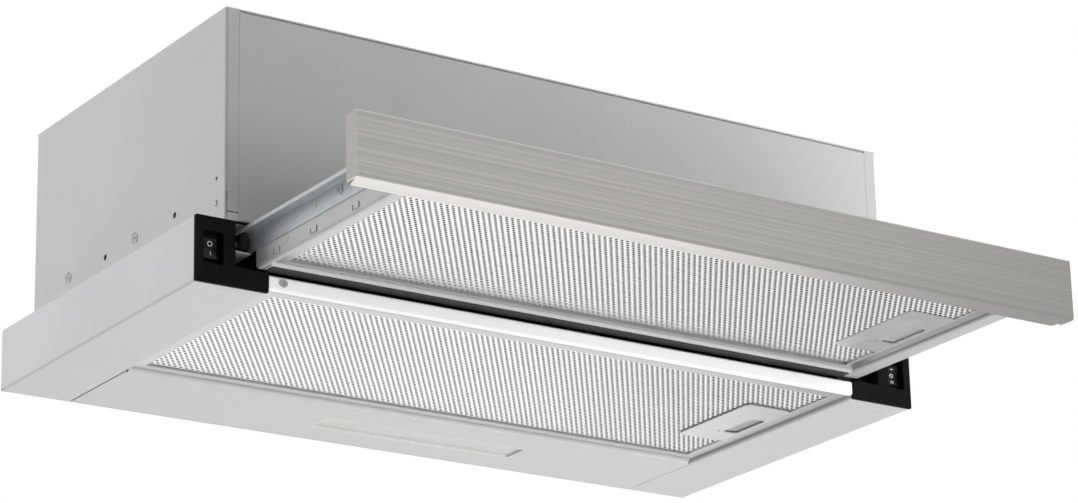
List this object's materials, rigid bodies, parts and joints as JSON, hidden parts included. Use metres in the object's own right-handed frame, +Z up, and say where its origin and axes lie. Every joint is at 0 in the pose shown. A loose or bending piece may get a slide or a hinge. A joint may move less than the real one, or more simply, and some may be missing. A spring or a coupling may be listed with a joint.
{
  "type": "pull out range hood",
  "caption": "Built-in range hood with a pull-out filter visor on roller runners, rocker switches, strip lamp, centrifugal blower and round top outlet with non-return flaps.",
  "frame": {"origin": "centre of the bounding box at the underside of the casing, with the visor pulled out", "axes": "+X to the right seen from the front, +Y towards the wall, +Z up; metres in the row, millimetres in the source"},
  "size_m": [0.598, 0.476, 0.225],
  "materials": {
    "sheet_grey": "silver grey powder coat, satin",
    "box_grey": "grey powder coat, satin",
    "strip_white": "light satin paint",
    "tray_sheet": "light grey satin paint",
    "stainless": "brushed along its length",
    "zinc": "bright zinc plating",
    "filter_aluminium": "rolled aluminium edge",
    "mesh_aluminium": "expanded aluminium mesh",
    "cap_black": "fine grained",
    "switch_black": "smooth",
    "rocker_black": "semi-gloss with white marks",
    "latch_grey": "smooth",
    "seal_grey": "soft profile",
    "roller_nylon": "smooth nylon",
    "lamp_white": "satin",
    "diffuser": "frosted",
    "board": "solder resist",
    "box_white": "moulded",
    "blower_grey": "moulded",
    "wheel_grey": "moulded",
    "motor_metal": "die cast",
    "shaft_steel": "ground",
    "screw_steel": "nickel plated",
    "bracket_steel": "zinc plated"
  },
  "bodies": {
    "hood": {"side_rail_left": "sheet_grey", "side_rail_right": "sheet_grey", "rear_panel": "sheet_grey", "front_strip": "strip_white", "strip_screw": "screw_steel", "end_cap_left": "cap_black", "end_cap_right": "cap_black", "switch_housing_left": "switch_black", "switch_housing_right": "switch_black", "box_side_left": "box_grey", "box_side_right": "box_grey", "box_front": "box_grey", "box_back": "box_grey", "box_top_plate": "box_grey", "side_screws": "screw_steel", "side_rivets": "screw_steel", "top_screws": "screw_steel", "channel_left": "zinc", "channel_right": "zinc", "lower_filter_frame": "filter_aluminium", "lower_filter_handle": "filter_aluminium", "lower_filter_mesh": "mesh_aluminium", "lamp_frame": "lamp_white", "lamp_diffuser": "diffuser", "lamp_board": "board", "lamp_driver": "box_white", "blower_housing": "blower_grey", "inlet_ring_left": "blower_grey", "inlet_ring_right": "blower_grey", "motor": "motor_metal", "motor_bracket": "bracket_steel", "outlet_collar": "blower_grey", "terminal_box": "box_white", "capacitor": "box_white", "cord_gland": "cap_black"},
    "visor": {"front_panel": "stainless", "visor_tray": "tray_sheet", "visor_seal": "seal_grey", "visor_runner_left": "zinc", "visor_runner_right": "zinc", "visor_screws": "screw_steel", "visor_filter_frame": "filter_aluminium", "visor_filter_handle": "filter_aluminium", "visor_filter_mesh": "mesh_aluminium"},
    "rocker_left": {"rocker_left": "rocker_black"},
    "rocker_right": {"rocker_right": "rocker_black"},
    "lower_latch": {"lower_latch": "latch_grey"},
    "visor_latch": {"visor_latch": "latch_grey"},
    "fan": {"fan_wheel": "wheel_grey", "motor_shaft": "shaft_steel"},
    "flap_front": {"flap_front": "wheel_grey"},
    "flap_rear": {"flap_rear": "wheel_grey"},
    "front_roller_left": {"front_roller_left": "roller_nylon"},
    "front_roller_right": {"front_roller_right": "roller_nylon"},
    "rear_roller_left": {"rear_roller_left": "roller_nylon"},
    "rear_roller_right": {"rear_roller_right": "roller_nylon"}
  },
  "joints": [
    {"name": "visor_slide", "type": "slide", "parent": "hood", "child": "visor", "axis": [0, 1, 0], "range_m": [0, 0.1705]},
    {"name": "rocker_left_tilt", "type": "hinge", "parent": "hood", "child": "rocker_left", "pos_m": [-0.2855, -0.04, 0.02475], "axis": [1, 0, 0], "range_deg": [0, 16]},
    {"name": "rocker_right_tilt", "type": "hinge", "parent": "hood", "child": "rocker_right", "pos_m": [0.2855, -0.04, 0.02475], "axis": [1, 0, 0], "range_deg": [-8, 8]},
    {"name": "lower_latch_slide", "type": "slide", "parent": "hood", "child": "lower_latch", "axis": [1, 0, 0], "range_m": [-0.004, 0], "stiffness_N_per_m": 300, "springref_m": 0.002},
    {"name": "visor_latch_slide", "type": "slide", "parent": "visor", "child": "visor_latch", "axis": [1, 0, 0], "range_m": [-0.004, 0], "stiffness_N_per_m": 300, "springref_m": 0.002},
    {"name": "fan_spin", "type": "hinge", "parent": "hood", "child": "fan", "pos_m": [0, 0.062, 0.13114], "axis": [1, 0, 0], "continuous": true},
    {"name": "flap_front_swing", "type": "hinge", "parent": "hood", "child": "flap_front", "pos_m": [0, 0.1138, 0.2086], "axis": [-1, 0, 0], "range_deg": [0, 80]},
    {"name": "flap_rear_swing", "type": "hinge", "parent": "hood", "child": "flap_rear", "pos_m": [0, 0.1202, 0.2086], "axis": [1, 0, 0], "range_deg": [0, 80]},
    {"name": "front_roller_left_spin", "type": "hinge", "parent": "hood", "child": "front_roller_left", "pos_m": [-0.2583, -0.034, 0.03485], "axis": [1, 0, 0], "range_deg": [-1225, 0]},
    {"name": "rear_roller_left_spin", "type": "hinge", "parent": "visor", "child": "rear_roller_left", "pos_m": [-0.2583, 0.012, 0.03565], "axis": [1, 0, 0], "range_deg": [0, 1090]},
    {"name": "front_roller_right_spin", "type": "hinge", "parent": "hood", "child": "front_roller_right", "pos_m": [0.2583, -0.034, 0.03485], "axis": [1, 0, 0], "range_deg": [-1225, 0]},
    {"name": "rear_roller_right_spin", "type": "hinge", "parent": "visor", "child": "rear_roller_right", "pos_m": [0.2583, 0.012, 0.03565], "axis": [1, 0, 0], "range_deg": [0, 1090]}
  ],
  "couplings": [
    {"joint": "front_roller_left_spin", "follows": "visor_slide", "rad_per_m": -125},
    {"joint": "rear_roller_left_spin", "follows": "visor_slide", "rad_per_m": 111.1},
    {"joint": "front_roller_right_spin", "follows": "visor_slide", "rad_per_m": -125},
    {"joint": "rear_roller_right_spin", "follows": "visor_slide", "rad_per_m": 111.1}
  ]
}
